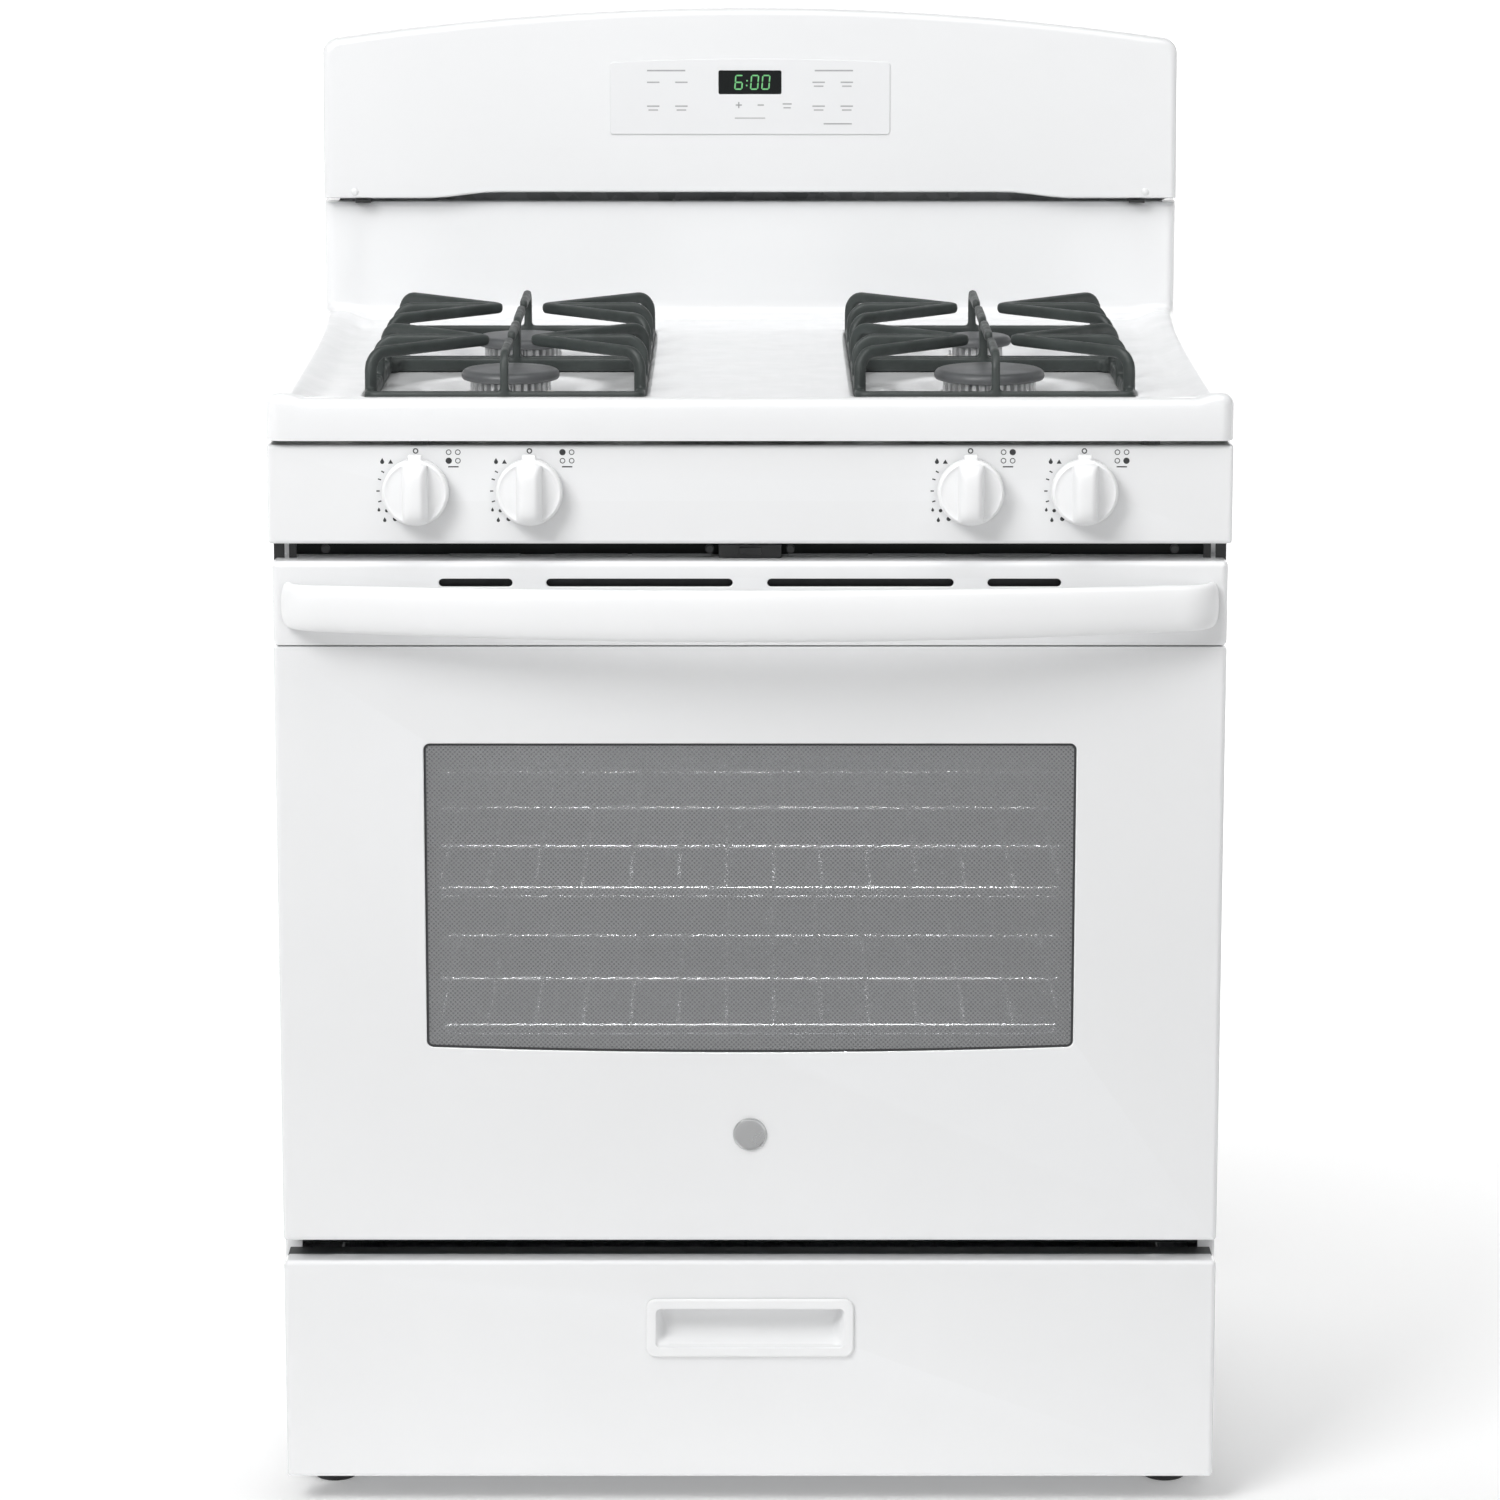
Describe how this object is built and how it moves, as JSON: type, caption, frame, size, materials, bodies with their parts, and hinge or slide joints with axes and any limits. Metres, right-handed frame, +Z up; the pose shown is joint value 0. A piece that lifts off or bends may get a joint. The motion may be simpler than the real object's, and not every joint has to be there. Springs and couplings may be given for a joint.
{
  "type": "freestanding gas range",
  "caption": "White freestanding gas range: enamel cooktop with cast grates, push-to-turn knobs, oven with a windowed drop-down door, storage drawer and arched backguard.",
  "frame": {"origin": "on the floor, at the middle of the width and of the depth", "axes": "+X right as seen from the front, -Y the front, +Z up"},
  "size_m": [0.762, 0.72, 1.187],
  "materials": {
    "white_enamel": "glossy baked enamel with a faint orange-peel surface",
    "dark_enamel": "speckled porcelain enamel",
    "galvanised_steel": "zinc-coated sheet",
    "oven_wire": "bright plated wire",
    "gasket_fibre": "braided fibreglass",
    "aluminium": "as cast",
    "brass": "machined",
    "white_plastic": "satin moulded",
    "black_plastic": "moulded",
    "cap_enamel": "matt porcelain enamel",
    "cast_iron": "matt porcelain enamel on castings",
    "printed_glass": "glass with a printed dot pattern",
    "clear_glass": "clear"
  },
  "bodies": {
    "chassis": {"left_side_panel": "white_enamel", "right_side_panel": "white_enamel", "knob_panel": "white_enamel", "cooktop": "white_enamel", "backguard_shell": "white_enamel", "rear_panel": "galvanised_steel", "base_frame": "galvanised_steel", "left_drawer_rail": "galvanised_steel", "right_drawer_rail": "galvanised_steel", "oven_flue": "galvanised_steel", "backguard_rear_cover": "galvanised_steel", "front_frame": "dark_enamel", "oven_liner": "dark_enamel", "oven_floor": "dark_enamel", "lower_oven_rack": "oven_wire", "upper_oven_rack": "oven_wire", "oven_gasket": "gasket_fibre", "gas_manifold": "aluminium", "pressure_regulator": "aluminium", "left_front_burner_head": "aluminium", "left_rear_burner_head": "aluminium", "right_rear_burner_head": "aluminium", "right_front_burner_head": "aluminium", "left_front_valve_body": "brass", "left_rear_valve_body": "brass", "right_rear_valve_body": "brass", "right_front_valve_body": "brass", "control_overlay": "white_plastic", "display_window": "black_plastic", "left_front_leg": "black_plastic", "left_rear_leg": "black_plastic", "right_front_leg": "black_plastic", "right_rear_leg": "black_plastic", "left_front_burner_cap": "cap_enamel", "left_rear_burner_cap": "cap_enamel", "right_rear_burner_cap": "cap_enamel", "right_front_burner_cap": "cap_enamel"},
    "oven_door": {"door_outer_panel": "white_enamel", "door_top_trim": "white_enamel", "door_handle": "white_plastic", "door_outer_glass": "printed_glass", "door_inner_glass": "clear_glass", "door_inner_liner": "dark_enamel", "left_door_hinge": "galvanised_steel", "right_door_hinge": "galvanised_steel"},
    "storage_drawer": {"drawer_front": "white_enamel", "drawer_pull": "white_plastic", "drawer_pan": "galvanised_steel"},
    "stem_left_front": {"left_front_valve_stem": "aluminium"},
    "knob_left_front": {"left_front_knob": "white_plastic"},
    "stem_left_rear": {"left_rear_valve_stem": "aluminium"},
    "knob_left_rear": {"left_rear_knob": "white_plastic"},
    "stem_right_rear": {"right_rear_valve_stem": "aluminium"},
    "knob_right_rear": {"right_rear_knob": "white_plastic"},
    "stem_right_front": {"right_front_valve_stem": "aluminium"},
    "knob_right_front": {"right_front_knob": "white_plastic"},
    "grate_left_front": {"left_front_grate": "cast_iron"},
    "grate_left_rear": {"left_rear_grate": "cast_iron"},
    "grate_right_rear": {"right_rear_grate": "cast_iron"},
    "grate_right_front": {"right_front_grate": "cast_iron"}
  },
  "joints": [
    {"name": "oven_door_hinge", "type": "hinge", "parent": "chassis", "child": "oven_door", "pos_m": [0, -0.267, 0.2382], "axis": [1, 0, 0], "range_deg": [0, 90], "stiffness_Nm_per_rad": 8, "springref_deg": -34.38},
    {"name": "drawer_slide", "type": "slide", "parent": "chassis", "child": "storage_drawer", "axis": [0, -1, 0], "range_m": [0, 0.4]},
    {"name": "knob_turn_left_front", "type": "hinge", "parent": "chassis", "child": "stem_left_front", "pos_m": [-0.2632, -0.295, 0.842], "axis": [0, -1, 0], "range_deg": [0, 210]},
    {"name": "knob_turn_left_rear", "type": "hinge", "parent": "chassis", "child": "stem_left_rear", "pos_m": [-0.1736, -0.295, 0.842], "axis": [0, -1, 0], "range_deg": [0, 210]},
    {"name": "knob_turn_right_rear", "type": "hinge", "parent": "chassis", "child": "stem_right_rear", "pos_m": [0.1736, -0.295, 0.842], "axis": [0, -1, 0], "range_deg": [0, 210]},
    {"name": "knob_turn_right_front", "type": "hinge", "parent": "chassis", "child": "stem_right_front", "pos_m": [0.2632, -0.295, 0.842], "axis": [0, -1, 0], "range_deg": [0, 210]},
    {"name": "knob_push_left_front", "type": "slide", "parent": "stem_left_front", "child": "knob_left_front", "axis": [0, 1, 0], "range_m": [0, 0.003], "stiffness_N_per_m": 2000, "springref_m": -0.002},
    {"name": "knob_push_left_rear", "type": "slide", "parent": "stem_left_rear", "child": "knob_left_rear", "axis": [0, 1, 0], "range_m": [0, 0.003], "stiffness_N_per_m": 2000, "springref_m": -0.002},
    {"name": "knob_push_right_rear", "type": "slide", "parent": "stem_right_rear", "child": "knob_right_rear", "axis": [0, 1, 0], "range_m": [0, 0.003], "stiffness_N_per_m": 2000, "springref_m": -0.002},
    {"name": "knob_push_right_front", "type": "slide", "parent": "stem_right_front", "child": "knob_right_front", "axis": [0, 1, 0], "range_m": [0, 0.003], "stiffness_N_per_m": 2000, "springref_m": -0.002},
    {"name": "grate_lift_left_front", "type": "slide", "parent": "chassis", "child": "grate_left_front", "axis": [0, 0, 1], "range_m": [0, 0.05]},
    {"name": "grate_lift_left_rear", "type": "slide", "parent": "chassis", "child": "grate_left_rear", "axis": [0, 0, 1], "range_m": [0, 0.05]},
    {"name": "grate_lift_right_rear", "type": "slide", "parent": "chassis", "child": "grate_right_rear", "axis": [0, 0, 1], "range_m": [0, 0.05]},
    {"name": "grate_lift_right_front", "type": "slide", "parent": "chassis", "child": "grate_right_front", "axis": [0, 0, 1], "range_m": [0, 0.05]}
  ]
}
